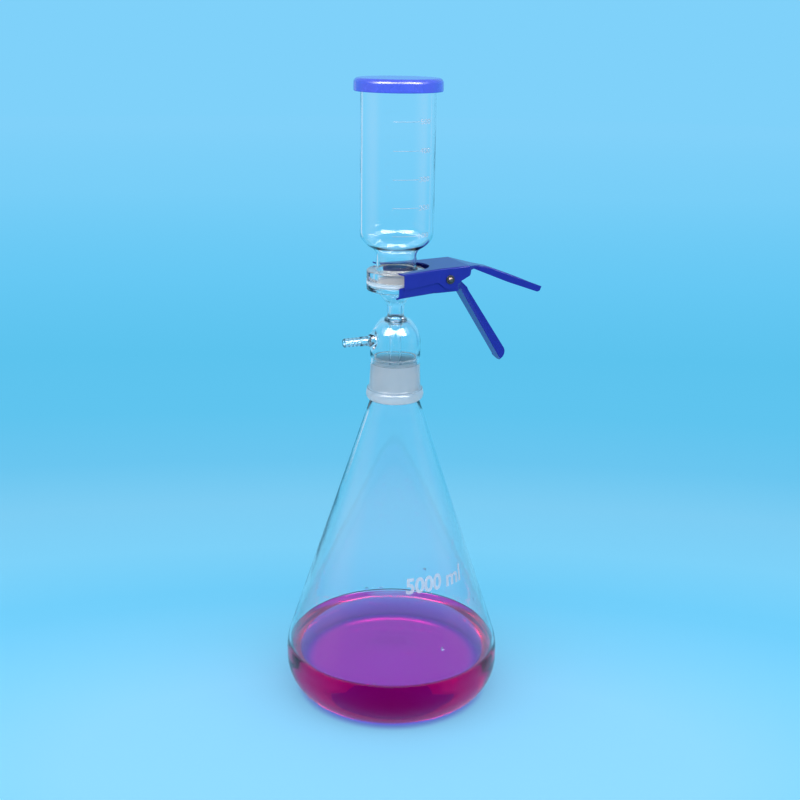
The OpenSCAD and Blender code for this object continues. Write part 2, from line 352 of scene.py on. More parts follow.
def ink(red, green, blue):
    """A colour written as 0 to 255 for each channel, made linear."""
    def straight(level):
        level /= 255
        return level / 12.92 if level <= 0.04045 else ((level + 0.055) / 1.055) ** 2.4
    return (straight(red), straight(green), straight(blue), 1.0)


def new_finish(name, store="materials"):
    """An empty material or world, with a Wire to build its nodes."""
    made = getattr(bpy.data, store).new(name)
    made.use_nodes = True
    made.node_tree.nodes.clear()
    return made, Wire(made.node_tree)


def close_finish(wire, surface, volume=None, output="Material"):
    node = wire.tree.nodes.new("ShaderNodeOutput" + output)
    wire.tree.links.new(surface.socket, node.inputs["Surface"])
    if volume:
        wire.tree.links.new(volume.socket, node.inputs["Volume"])


def place_on_piece(wire):
    """Object coordinates, and their three parts."""
    where = wire.add("ShaderNodeTexCoord", None, None, "Object")
    parts = where.add("ShaderNodeSeparateXYZ", None, {"Vector": where}, "X")
    split = parts.socket.node
    return where, [Wire(wire.tree, split.outputs[axis]) for axis in "XYZ"]


def plain_finish(name, look):
    """A material from look(wire, where), which gives the settings of its surface."""
    material, wire = new_finish(name)
    where, _ = place_on_piece(wire)
    close_finish(wire, wire.surface(look(wire, where)))
    return material


# ---------- finishes ----------

GLASS_IOR = 1.47
GLASS_BOUNCES = 64                # walls of glass that light may pass
WATER_IOR = 1.33


def clear_glass(name, ground_z0, ground_z1, face_z, face_r, share, wet_z=0):
    """Clear blown glass with a slight wave. Its ground cone is frosted between two heights, and so
    is its ground face at face_z, out from face_r. The share says how much of the light the frosting
    scatters. Below wet_z, liquid takes the wall's gloss."""
    material, wire = new_finish(name)
    where, (x, y, z) = place_on_piece(wire)
    radius = (x * x + y * y) ** 0.5
    cone = radius + (z - JOINT_Z0 * MM) * JOINT_TAPER
    ground = (cone.ease(22.7 * MM, 22.9 * MM) * cone.ease(25.1 * MM, 24.9 * MM)
              * z.ease(ground_z0 * MM, (ground_z0 + 1) * MM)
              * z.ease(ground_z1 * MM, (ground_z1 - 1) * MM))
    face = (z.ease((face_z - 2.8) * MM, (face_z - 0.4) * MM)
            * z.ease((face_z + 2.8) * MM, (face_z + 0.4) * MM)
            * radius.ease(face_r * MM, (face_r + 0.2) * MM))
    ground = ground.math("MAXIMUM", face)
    wave = wire.noise(where, 26.0, 1.0)
    grain = wire.noise(where, 2600.0, 2.0)
    cloud = wire.noise(where, 120.0, 2.0)
    clear = {
        "Base Color": (0.992, 0.997, 1.0, 1.0), "Roughness": ground * 0.3, "IOR": GLASS_IOR,
        "Transmission Weight": 1.0, "Normal": wire.bump(wave, 0.25 * MM)}
    frosted = wire.surface({
        "Base Color": cloud.mixed(ink(240, 246, 252), ink(250, 252, 255)), "Roughness": 0.75,
        "IOR": GLASS_IOR, "Transmission Weight": 0.15, "Normal": wire.bump(grain, 0.02 * MM)})
    glass = wire.surface(clear)
    if wet_z:
        wetted = wire.surface(dict(clear, **{"Specular Tint": (0.0, 0.0, 0.0, 1.0)}))
        glass = z.ease((wet_z + 1) * MM, (wet_z - 1) * MM).between(glass, wetted)
    close_finish(wire, (ground * share).between(glass, frosted))
    return material


def purple_filtrate():
    """Clear purple solution; its depth makes its colour."""
    material, wire = new_finish("purple_filtrate")
    where, _ = place_on_piece(wire)
    ripple = wire.noise(where, 14.0, 1.0)
    surface = wire.surface({
        "Base Color": (1.0, 1.0, 1.0, 1.0), "Roughness": 0.0, "IOR": WATER_IOR,
        "Transmission Weight": 1.0, "Specular Tint": (0.0, 0.0, 0.0, 1.0),
        "Normal": wire.bump(ripple, 0.03 * MM)})
    depth = wire.add("ShaderNodeVolumeAbsorption", None, {
        "Color": (0.988, 0.1, 0.80, 1.0), "Density": 45.0})
    close_finish(wire, surface, depth)
    return material


def water_drop(wire, where):
    """The filtrate's thin drops on the glass, almost clear."""
    tint = wire.noise(where, 60.0).mixed((0.93, 0.75, 0.95, 1.0), (0.97, 0.85, 0.98, 1.0))
    return {
        "Base Color": tint, "Roughness": 0.02, "IOR": WATER_IOR, "Transmission Weight": 1.0}


def sintered_disc(wire, where):
    """Matt white disc of fused grains."""
    grains = wire.add("ShaderNodeTexVoronoi", None, {"Vector": where, "Scale": 1500.0}, "Distance")
    tone = grains.mixed(ink(247, 248, 248), ink(214, 219, 222))
    return {
        "Base Color": tone, "Roughness": grains.ease(0.0, 0.8, 0.55, 0.9),
        "Normal": wire.bump(grains, 0.12 * MM)}


def membrane_sheet(wire, where):
    """Thin smooth membrane with a fine matt pore texture."""
    pores = wire.noise(where, 3200.0, 3.0, 0.6)
    tone = pores.mixed(ink(236, 233, 228), ink(250, 248, 244))
    return {
        "Base Color": tone, "Roughness": 0.82, "Normal": wire.bump(pores, 0.01 * MM)}


def blue_cap_plastic(wire, where):
    """Moulded blue plastic: softly glossy, with a faint cloud in its colour."""
    cloud = wire.noise(where, 55.0, 3.0)
    skin = wire.noise(where, 1400.0, 2.0)
    tone = cloud.mixed(ink(66, 82, 218), ink(72, 90, 226))
    return {
        "Base Color": tone, "Roughness": cloud.ease(0.3, 0.7, 0.25, 0.28),
        "Specular IOR Level": 0.6, "Coat Weight": 0.5, "Coat Roughness": 0.16,
        "Normal": wire.bump(skin, 0.006 * MM)}


def blue_anodised(wire, where):
    """Anodised sheet: drawn along its length, with a little of the metal's sheen."""
    along = wire.add("ShaderNodeMapping", None, {"Vector": where, "Scale": (140.0, 1100.0, 1100.0)})
    drawn = wire.noise(along, 1.0, 3.0, 0.6)
    cloud = wire.noise(where, 70.0, 2.0)
    tone = cloud.mixed(ink(28, 31, 144), ink(32, 37, 153))
    return {
        "Base Color": tone, "Roughness": drawn.ease(0.2, 0.8, 0.30, 0.34),
        "Specular IOR Level": 0.4, "Specular Tint": (0.35, 0.55, 1.0, 1.0),
        "Coat Weight": 0.28, "Coat Roughness": 0.12,
        "Normal": wire.bump(drawn, 0.0025 * MM)}


def rivet_steel():
    """Domed rivet head, turned: faint rings round its middle."""
    material, wire = new_finish("rivet_steel")
    _, (x, _, z) = place_on_piece(wire)
    off_x = x - PIVOT[0] * MM
    off_z = z - PIVOT[2] * MM
    ring = (off_x * off_x + off_z * off_z) ** 0.5
    lines = wire.noise(ring * 6000.0, 1.0)
    surface = wire.surface({
        "Base Color": lines.mixed(ink(96, 84, 78), ink(128, 112, 102)), "Metallic": 1.0,
        "Roughness": lines.ease(0.2, 0.8, 0.28, 0.42)})
    close_finish(wire, surface)
    return material


def black_washer(wire, where):
    dust = wire.noise(where, 900.0, 3.0, 0.65)
    return {
        "Base Color": dust.mixed(ink(12, 12, 16), ink(34, 34, 42)),
        "Roughness": dust.ease(0.3, 0.7, 0.38, 0.6), "Normal": wire.bump(dust, 0.02 * MM)}


def spring_steel(wire, where):
    drawn = wire.noise(where, 700.0, 3.0, 0.6)
    return {
        "Base Color": drawn.mixed(ink(168, 168, 174), ink(206, 206, 212)), "Metallic": 1.0,
        "Roughness": drawn.ease(0.3, 0.7, 0.22, 0.38)}


def white_enamel(wire, where):
    """Enamel fired onto the glass: slightly uneven and thinner in places."""
    fired = wire.noise(where, 1300.0, 3.0, 0.6)
    return {
        "Base Color": fired.mixed(ink(214, 216, 232), ink(234, 234, 246)),
        "Roughness": fired.ease(0.3, 0.7, 0.45, 0.65), "Alpha": fired.ease(0.2, 0.8, 0.40, 0.58),
        "Normal": wire.bump(fired, 0.01 * MM)}


FLASK_GLASS = clear_glass(
    "flask_glass_finish", SOCKET_Z0 + 1, FLASK_H - 2.4, FLASK_H, RIM_R - NECK_WALL, 0.45, FILL_Z)
HEAD_GLASS = clear_glass(
    "head_glass_finish", SOCKET_Z0, FLASK_H - 6, SEAL_Z, FRIT_R + 0.3, 0.88)
FUNNEL_GLASS = clear_glass("funnel_glass_finish", 0, 1, FUNNEL_Z0, NECK_BORE + 0.6, 0.88)
FILTRATE = purple_filtrate()
DROP = plain_finish("filtrate_drop", water_drop)
SINTERED = plain_finish("sintered_glass", sintered_disc)
MEMBRANE = plain_finish("membrane_sheet", membrane_sheet)
CAP_PLASTIC = plain_finish("blue_cap_plastic", blue_cap_plastic)
ANODISED = plain_finish("blue_anodised_sheet", blue_anodised)
RIVET = rivet_steel()
WASHER = plain_finish("black_washer", black_washer)
SPRING = plain_finish("spring_steel", spring_steel)
ENAMEL = plain_finish("white_enamel", white_enamel)


# ---------- flask and filtrate ----------

BEND_STEPS = [CONE_Z0 + BEND_H * i / 12 for i in range(-12, 13)]


def push_up(base):
    """The shallow dome in the flask's base, from its axis out to the foot ring."""
    edge = FOOT_IN + 6
    return [(edge * i / 24, base + PUSH_UP * (0.5 + 0.5 * math.cos(math.pi * i / 24)))
            for i in range(25)]


def flask_outline():
    """Outside from the foot up to the rim, then the inside down to the base."""
    outside = (
        push_up(0)
        + arc(FLASK_R - CORNER_W, CORNER_H, CORNER_W, CORNER_H, -90, 0, 40)
        + [(side_r(z), z) for z in BEND_STEPS]
        + [(JOINT_R0, JOINT_Z0)]
        + arc(RIM_R - RIM_SOFT, FLASK_H - RIM_SOFT, RIM_SOFT, RIM_SOFT, 0, 90, 8))
    inside = (
        arc(RIM_R - NECK_WALL + RIM_SOFT, FLASK_H - RIM_SOFT, RIM_SOFT, RIM_SOFT, 90, 180, 8)
        + bend((JOINT_R0 - NECK_WALL, JOINT_Z0 + 12), (JOINT_R0 - NECK_WALL, JOINT_Z0),
               (lean_r(JOINT_Z0 - 14) - LEAN_W, JOINT_Z0 - 14), 16)
        + [(side_r(z) - LEAN_W, z) for z in reversed(BEND_STEPS)]
        + arc(FLASK_R - CORNER_W, CORNER_H, CORNER_W - LEAN_W, CORNER_H - BASE_T, 0, -90, 40)
        + push_up(BASE_T)[::-1])
    return outside + inside


def filtrate_outline():
    """The liquid wets the glass a little way into its wall and climbs it in a small meniscus."""
    wet = 0.3
    w = LEAN_W - wet
    wall = [(side_r(z) - w, z) for z in [CORNER_H + (FILL_Z - 0.2 - CORNER_H) * i / 12
                                         for i in range(1, 13)]]
    edge = side_r(FILL_Z) - w
    return (
        push_up(BASE_T - wet)
        + arc(FLASK_R - CORNER_W, CORNER_H, CORNER_W - w, CORNER_H - BASE_T + wet, -90, 0, 40)
        + wall
        + bend((edge - 0.05, FILL_Z + 1.3), (edge - 0.9, FILL_Z - 0.3),
               (edge - 4.5, FILL_Z - 0.35), 12)
        + [(edge - 20, FILL_Z - 0.35), (0, FILL_Z - 0.35)])


fitted(turned("flask_glass", flask_outline(), FLASK_SIDES),
       "stand", FLASK_GLASS, ["flask"])
fitted(turned("filtrate_pool", filtrate_outline(), FLASK_SIDES),
       "stand", FILTRATE, ["filtrate"])


# ---------- filter head ----------

def head_outline():
    """Flange, bowl, stem, dome and bead outside; then the socket, the drip tube and its bore."""
    z1 = SEAL_Z
    outside = (
        [(FRIT_R + 0.05, z1)] + arc(FLANGE_R - 0.7, z1 - 0.7, 0.7, 0.7, 90, 0, 5)
        + arc(FLANGE_R - 1.6, z1 - FLANGE_T + 1.6, 1.6, 1.6, 0, -90, 7)
        + bend((22.4, z1 - FLANGE_T), (21, z1 - FLANGE_T), (19.6, 429.6), 6)
        + bend((12.6, 422.4), (STEM_R, 417.9), (STEM_R, 413.6), 12)
        + bend((STEM_R, 407.4), (STEM_R, 403.2), (12.2, 402.8), 10)
        + bend((12.2, 402.8), (14.4, 402.5), (17.5, 399.1), 8)
        + DOME_OUT
        + bend((25.8, 334.6), (25.9, 332), (28, 331.5), 8)
        + arc(29.2 - 4, 326, 4, 5.7, 62, -84, 22))
    socket = (
        [(joint_r(SOCKET_Z0) + SOCKET_GAP + 0.6, SOCKET_Z0),
         (joint_r(SOCKET_Z0 + 0.8) + SOCKET_GAP, SOCKET_Z0 + 0.8),
         (joint_r(FLASK_H) + SOCKET_GAP, FLASK_H)]
        + DOME_IN
        + bend((15.8, 397.2), (12.4, 400.6), (9.4, 400.1), 8)
        + bend((9.4, 400.1), (DRIP_R, 399.4), (DRIP_R, 394), 8))
    passage = (
        [(DRIP_R, DRIP_END + 0.9)] + arc(DRIP_R - 0.9, DRIP_END + 0.9, 0.9, 0.9, 0, -90, 5)
        + arc(DRIP_BORE + 0.5, DRIP_END + 0.5, 0.5, 0.5, -90, -180, 3)
        + bend((DRIP_BORE, 396), (DRIP_BORE, 402), (STEM_BORE, 408), 8)
        + bend((STEM_BORE, 414.5), (STEM_BORE, 418.2), (8.2, 421.4), 8)
        + bend((15.2, 428.8), (17.8, 431.6), (18.2, FRIT_Z0), 8)
        + [(FRIT_R + 0.05, FRIT_Z0)])
    return outside + socket + passage


DOME_OUT = bend((17.5, 399.1), (25.2, 390.6), (25.5, 377), 24) + bend(
    (25.5, 377), (24.8, 362), (25.1, 350), 16)
DOME_IN = bend((22.5, 367), (23.1, 371), (23.1, 377), 8) + bend(
    (23.1, 377), (23, 389.4), (15.8, 397.2), 22)


def wall_r(wall, z):
    """Radius of one side of the dome's wall at a height."""
    for (r0, z0), (r1, z1) in zip(wall, wall[1:]):
        if min(z0, z1) <= z <= max(z0, z1) and z0 != z1:
            return r0 + (r1 - r0) * (z - z0) / (z1 - z0)
    return 0


def wall_x(wall, reach, turn):
    """Distance of the dome's wall from its axis, along the barb, at a place seen along the barb."""
    y = reach * math.cos(turn)
    return math.sqrt(wall_r(wall, BARB_Z + reach * math.sin(turn)) ** 2 - y * y)


def at_barb(x, reach, turn):
    return Vector((-x, reach * math.cos(turn), BARB_Z + reach * math.sin(turn))) * MM


def opened(mesh, wall, reach):
    """Cuts a round hole about the barb's axis in one side of the wall. Returns its rim in order."""
    inside = []
    for face in mesh.faces:
        middle = face.calc_center_median() / MM
        off = math.hypot(middle.y, middle.z - BARB_Z)
        if middle.x < 0 and off < reach:
            if abs(math.hypot(middle.x, middle.y) - wall_r(wall, middle.z)) < 0.6:
                inside.append(face)
    bmesh.ops.delete(mesh, geom=inside, context="FACES")
    rim = []
    for vert in mesh.verts:
        off = math.hypot(vert.co.y / MM, vert.co.z / MM - BARB_Z)
        if vert.co.x < 0 and vert.is_boundary and abs(off - reach) < 1.5:
            rim.append((math.atan2(vert.co.z / MM - BARB_Z, vert.co.y / MM), vert))
    rim.sort(key=lambda pair: pair[0])
    for turn, vert in rim:
        vert.co = at_barb(wall_x(wall, reach, turn), reach, turn)
    return rim


def tube(mesh, rim, way):
    """Grows a tube from a hole's rim and returns its end. way(turn) gives its points as
    (radius, distance)."""
    last = [vert for _, vert in rim]
    lines = [way(turn) for turn, _ in rim]
    for step in range(len(lines[0])):
        ring = [mesh.verts.new(at_barb(lines[i][step][1], lines[i][step][0], turn))
                for i, (turn, _) in enumerate(rim)]
        for i in range(len(ring)):
            j = (i + 1) % len(ring)
            mesh.faces.new((last[i], last[j], ring[j], ring[i]))
        last = ring
    return last


def barb_way(turn):
    """From the flare at the dome, along the plain shank and over the ridges, to the tip."""
    x = wall_x(DOME_OUT, ROOT_R, turn)
    slope = (wall_x(DOME_OUT, ROOT_R + 0.4, turn) - x) / 0.4
    aim = (BARB_R, x - slope * (ROOT_R - BARB_R))
    way = bend((ROOT_R, x), aim, (BARB_R, SHANK_IN), 18)[1:] + [(BARB_R, SHANK_OUT - 0.5)]
    pitch = (BARB_REACH - 1 - SHANK_OUT) / BARB_RIDGES
    for i in range(BARB_RIDGES):
        x = SHANK_OUT + i * pitch
        way += bend((BARB_R - 0.25, x - 0.1), (BARB_R - 0.75, x + 0.15), (BARB_R - 0.5, x + 0.6), 4)
        way += bend((BARB_R - 0.1, x + pitch * 0.32), (BARB_R + 0.04, x + pitch * 0.45),
                    (BARB_R - 0.1, x + pitch * 0.6), 4)
    return way + arc(BARB_R - 1.2, BARB_REACH - 0.9, 0.9, 0.9, 0, 90, 6)


def bore_way(turn):
    """From the dome's inside, round the edge of the bore and along it to the tip."""
    x = wall_x(DOME_IN, BORE_HOLE_R, turn)
    return (bend((BORE_HOLE_R, x), (BARB_BORE, x), (BARB_BORE, x + 1.3), 5)[1:]
            + [(BARB_BORE, x + 2), (BARB_BORE, BARB_REACH - 1)]
            + arc(BARB_BORE + 0.4, BARB_REACH - 0.4, 0.4, 0.4, 180, 90, 4))


BARB_RIDGES = 4
ROOT_R = 13.0                      # where the flare leaves the dome, from the barb's axis
BORE_HOLE_R = 4.0


def filter_head():
    mesh = lathe(head_outline(), 240)
    mesh.verts.ensure_lookup_table()
    outer = tube(mesh, opened(mesh, DOME_OUT, ROOT_R), barb_way)
    inner = tube(mesh, opened(mesh, DOME_IN, BORE_HOLE_R), bore_way)
    rims = []
    for ring in (outer, inner):
        rims += [mesh.edges.get((ring[i - 1], ring[i])) for i in range(len(ring))]
    bmesh.ops.bridge_loops(mesh, edges=rims)
    bmesh.ops.recalc_face_normals(mesh, faces=mesh.faces)
    return solid("head_glass", mesh, 50)


fitted(filter_head(), "stand", HEAD_GLASS, ["filter_head"])


def rounded_disc(radius, z0, z1, soft):
    """Outline of a flat disc with softened edges."""
    return ([(0, z0)] + arc(radius - soft, z0 + soft, soft, soft, -90, 0, 4)
            + arc(radius - soft, z1 - soft, soft, soft, 0, 90, 4) + [(0, z1)])


for name, node, soft, slot, finish in (
        ("sintered_disc", "frit_disc", 0.3, "sintered_glass", SINTERED),
        ("membrane_sheet", "membrane_filter", 0.06, "membrane", MEMBRANE)):
    outline = rounded_disc(high(node)[0], low(node)[2], high(node)[2], soft)
    fitted(turned(name, outline, 160), "stand", finish, [node])


# ---------- funnel and cap ----------

def funnel_outline():
    """Flange, neck, shoulder, cylinder and rolled rim outside, then the inside back down."""
    z0 = FUNNEL_Z0
    z1 = z0 + FUNNEL_FLANGE
    r = FUNNEL_R
    ri = r - FUNNEL_WALL
    top = FUNNEL_TOP
    outside = (
        arc(NECK_BORE + 0.5, z0 + 0.5, 0.5, 0.5, 180, 270, 4)
        + arc(FLANGE_R - 0.7, z0 + 0.7, 0.7, 0.7, -90, 0, 5)
        + arc(FLANGE_R - 1.3, z1 - 1.3, 1.3, 1.3, 0, 90, 7)
        + bend((22.2, z1), (NECK_R, z1), (NECK_R, z1 + 2.8), 8)
        + bend((NECK_R, 465.4), (NECK_R, 470.5), (24.2, 473.4), 12)
        + bend((24.2, 473.4), (28.2, 475.8), (30.6, 477.9), 6)
        + bend((30.6, 477.9), (r, 482.4), (r, 490), 14)
        + bend((r, top - 10), (r, top - 5), (r + RIM_FLARE - 1, top - 3), 8)
        + arc(r + RIM_FLARE - 1.5, top - 1.5, 1.5, 1.5, -50, 90, 9))
    inside = (
        bend((ri + 1.6, top - 0.4), (ri, top - 3), (ri, top - 10), 8)
        + bend((ri, 490), (ri, 483.6), (29.6, 479.2), 14)
        + bend((29.6, 479.2), (27.2, 477.2), (22.9, 474.9), 6)
        + bend((22.9, 474.9), (NECK_BORE, 471.4), (NECK_BORE, 465.4), 12))
    return outside + inside


def cap_outline():
    r = CAP_R
    z0, z1 = CAP_Z0, CAP_TOP
    rim = FUNNEL_R + RIM_FLARE + 0.7
    ceiling = z1 - CAP_T
    return (
        [(0, ceiling)] + arc(rim - 1, ceiling - 1, 1, 1, 90, 0, 5)
        + arc(rim + 0.4, z0 + 0.4, 0.4, 0.4, 180, 270, 3)
        + arc(r - 0.8, z0 + 0.8, 0.8, 0.8, -90, 0, 5)
        + arc(r - CAP_SOFT, z1 - CAP_SOFT, CAP_SOFT, CAP_SOFT, 0, 90, 16) + [(0, z1)])


fitted(turned("funnel_glass", funnel_outline()), "stand", FUNNEL_GLASS, ["funnel"])
fitted(turned("cap_shell", cap_outline()), "stand", CAP_PLASTIC, ["funnel_cap"])


# ---------- fired marks ----------

FACING = math.radians(-114)       # the side of the glass that carries the marks
MARK_T = 0.12                     # how far the enamel stands out
MARK_SINK = 0.03                  # and how far it is fused in
CUT_EVERY = 1.0                   # letters are cut this often, to bend with the glass


def grown(name, make, inputs, points=((0, 0, 0),), edges=()):
    """Runs a new node tree, with its named inputs set, and keeps the plain mesh."""
    tree = bpy.data.node_groups.new(name, "GeometryNodeTree")
    for way in ("INPUT", "OUTPUT"):
        tree.interface.new_socket("Geometry", in_out=way, socket_type="NodeSocketGeometry")
    kinds = {float: "NodeSocketFloat", int: "NodeSocketInt", tuple: "NodeSocketVector"}
    keys = {}
    for key, value in inputs.items():
        kind = kinds.get(type(value), "NodeSocketMaterial")
        keys[key] = tree.interface.new_socket(key, in_out="INPUT", socket_type=kind).identifier
    entry = tree.nodes.new("NodeGroupInput")
    given = {socket.name: Wire(tree, socket) for socket in entry.outputs if socket.name}
    made = make(Wire(tree), given)
    real = made.add("GeometryNodeRealizeInstances", None, {"Geometry": made})
    dressed = real.add("GeometryNodeSetMaterial", None,
                       {"Geometry": real, "Material": given["Finish"]})
    leave = tree.nodes.new("NodeGroupOutput")
    tree.links.new(dressed.socket, leave.inputs["Geometry"])
    data = bpy.data.meshes.new(name)
    data.from_pydata(points, edges, [])
    piece = placed(name, data)
    step = piece.modifiers.new(name, "NODES")
    step.node_group = tree
    for key, value in inputs.items():
        step[keys[key]] = value
    piece.update_tag()
    baked(piece)
    bpy.data.node_groups.remove(tree)
    return piece


def line_tree(wire, given):
    """Curved bars, one above the other, round part of a cylinder."""
    sweep = wire.add("GeometryNodeCurveArc", None, {
        "Resolution": given["Steps"], "Radius": given["Radius"],
        "Start Angle": given["Start"], "Sweep Angle": given["Sweep"]}, "Curve")
    bar = wire.add("GeometryNodeCurvePrimitiveQuadrilateral", None, {
        "Width": given["Thickness"], "Height": given["Height"]}, "Curve")
    line = wire.add("GeometryNodeCurveToMesh", None, {
        "Curve": sweep, "Profile Curve": bar, "Fill Caps": True}, "Mesh")
    first, offset = (
        wire.add("ShaderNodeCombineXYZ", None, {"Z": given[key]}) for key in ("First", "Pitch"))
    rungs = wire.add("GeometryNodeMeshLine", None, {
        "Count": given["Count"], "Start Location": first, "Offset": offset}, "Mesh")
    return wire.add("GeometryNodeInstanceOnPoints", None, {
        "Points": rungs, "Instance": line}, "Instances")


LINE_FIRST = 490.1
LINE_PITCH = 26.5
fitted(grown("graduation_lines", line_tree, {
    "Steps": 48, "Radius": (FUNNEL_R - MARK_SINK + (MARK_T + MARK_SINK) / 2) * MM,
    "Start": FACING + math.radians(-7), "Sweep": math.radians(40.5),
    "First": LINE_FIRST * MM, "Pitch": LINE_PITCH * MM, "Count": 5,
    "Height": 0.5 * MM, "Thickness": (MARK_T + MARK_SINK) * MM, "Finish": ENAMEL}),
    "stand", ENAMEL)


def lettering(name, marks, wrap):
    """Raised characters, each mark (text, left, width, base, height, weight), wrapped onto glass.
    wrap turns (along, up, out) in millimetres into a point on the glass."""
    whole = bmesh.new()
    for text, left, width, base, height, weight in marks:
        curve = bpy.data.curves.new(name, "FONT")
        curve.body = text
        curve.resolution_u = 5
        curve.offset = weight
        curve.extrude = 0.5
        letters = placed(name, curve)
        graph = bpy.context.evaluated_depsgraph_get()
        data = bpy.data.meshes.new_from_object(letters.evaluated_get(graph))
        bpy.data.objects.remove(letters)
        part = bmesh.new()
        part.from_mesh(data)
        bmesh.ops.remove_doubles(part, verts=part.verts, dist=1e-5)
        xs = [v.co.x for v in part.verts]
        ys = [v.co.y for v in part.verts]
        wide, tall = max(xs) - min(xs), max(ys) - min(ys)
        for v in part.verts:
            v.co = Vector((
                left + (v.co.x - min(xs)) / wide * width,
                base + (v.co.y - min(ys)) / tall * height,
                (v.co.z + 0.5) * (MARK_T + MARK_SINK) - MARK_SINK))
        place = left + CUT_EVERY
        while place < left + width:
            geometry = part.verts[:] + part.edges[:] + part.faces[:]
            bmesh.ops.bisect_plane(part, geom=geometry, plane_co=(place, 0, 0), plane_no=(1, 0, 0))
            place += CUT_EVERY
        bmesh.ops.triangulate(part, faces=[f for f in part.faces if len(f.verts) > 4])
        for v in part.verts:
            v.co = Vector(wrap(*v.co)) * MM
        spare = bpy.data.meshes.new("spare")
        part.to_mesh(spare)
        part.free()
        whole.from_mesh(spare)
        bpy.data.meshes.remove(spare)
    bmesh.ops.recalc_face_normals(whole, faces=whole.faces)
    return solid(name, whole, 40)


def around(r, turn, z):
    return (r * math.cos(turn), r * math.sin(turn), z)


def on_funnel(along, up, out):
    return around(FUNNEL_R + out, FACING + along / FUNNEL_R, up)


def on_flask(along, up, out):
    """up is measured along the leaning side from the height MARK_BASE."""
    lean = math.atan((FLASK_R - JOINT_R0) / (JOINT_Z0 - CONE_Z0))
    z = MARK_BASE + up * math.cos(lean)
    return around(lean_r(z) + out, FACING + along / lean_r(z), z + out * math.sin(lean))


MARK_BASE = 140.7
DIGIT_H = 4.8
NUMBER_LEFT = math.radians(35.3) * FUNNEL_R
NUMBER_W = math.radians(20.9) * FUNNEL_R
fitted(lettering("graduation_numbers", [
    (str((i + 1) * 100), NUMBER_LEFT, NUMBER_W, LINE_FIRST + LINE_PITCH * i - DIGIT_H / 2, DIGIT_H,
     0.0) for i in range(5)], on_funnel), "stand", ENAMEL)
fitted(lettering("capacity_mark", [
    ("5000", 13.6, 39.1, 0.0, 16.0, 0.032), ("ml", 59.5, 22.5, 0.0, 16.0, 0.022)], on_flask),
    "stand", ENAMEL)


# ---------- drops on the inside of the flask ----------

def drop_tree(wire, given):
    """A flattened drop on each point, turned to face the axis, with sizes from a fixed seed."""
    ball = wire.add("GeometryNodeMeshUVSphere", None, {
        "Segments": 20, "Rings": 12, "Radius": given["Radius"]}, "Mesh")
    where = wire.add("GeometryNodeInputPosition")
    outward = wire.add("ShaderNodeVectorMath", {"operation": "MULTIPLY"}, {
        "Vector": where, "Vector_001": (1.0, 1.0, 0.0)})
    facing = wire.add("FunctionNodeAlignRotationToVector", {"axis": "X"}, {"Vector": outward})
    size = wire.add("FunctionNodeRandomValue", {"data_type": "FLOAT"}, {
        "Min_001": 0.6, "Max_001": 1.3, "Seed": given["Seed"]}, "Value_001")
    shape = wire.add("ShaderNodeVectorMath", {"operation": "SCALE"}, {
        "Vector": (0.55, 1.0, 1.15), "Scale": size})
    return wire.add("GeometryNodeInstanceOnPoints", None, {
        "Points": given["Geometry"], "Instance": ball, "Rotation": facing, "Scale": shape},
        "Instances")


def in_flask(right, z):
    r = lean_r(z) - LEAN_W - 0.1
    return tuple(c * MM for c in around(r, FACING + math.radians(right), z))


DROPS = [(-8.5, FILL_Z + 1.6), (196.5, FILL_Z + 3.2), (187.3, FILL_Z + 2.6), (31, 83), (158, 88),
         (117, 74), (-88, 79)]
fitted(grown("filtrate_drops", drop_tree, {
    "Radius": 1.6 * MM, "Seed": 5, "Finish": DROP}, [in_flask(*d) for d in DROPS]),
    "stand", DROP)


# ---------- clamp ----------

FOLD_R = 1.5                      # outside radius of a fold
FOLD_LENGTH = 12                  # a shorter edge is not taken for a fold
CUT_WIDTH = 3                     # a narrower face is the cut edge of the sheet
SIDE_FACING = 0.96                # least share of a side wall's normal that lies along Y
WEB_FACING = 0.3                  # and the most of a web's
WELD = 0.002                      # points closer than this are one
SLIVER = 0.12                     # and once the faces are flat, edges shorter than this go
FOLD_END = 3.0                    # how far before a rounded tip a fold turns sharp


def is_fold(edge):
    """Whether an edge is the outside of a fold between a web and a side, and not a cut edge."""
    if len(edge.link_faces) != 2 or edge.calc_length() < FOLD_LENGTH * MM:
        return False
    one, two = sorted((face.normal for face in edge.link_faces), key=lambda n: abs(n.y))
    across = min(face.calc_area() for face in edge.link_faces) / edge.calc_length()
    side = (edge.verts[0].co + edge.verts[1].co).y * two.y
    return (across > CUT_WIDTH * MM and side > 0 and abs(two.y) > SIDE_FACING
            and abs(one.y) < WEB_FACING and edge.calc_face_angle_signed(0) > 0)


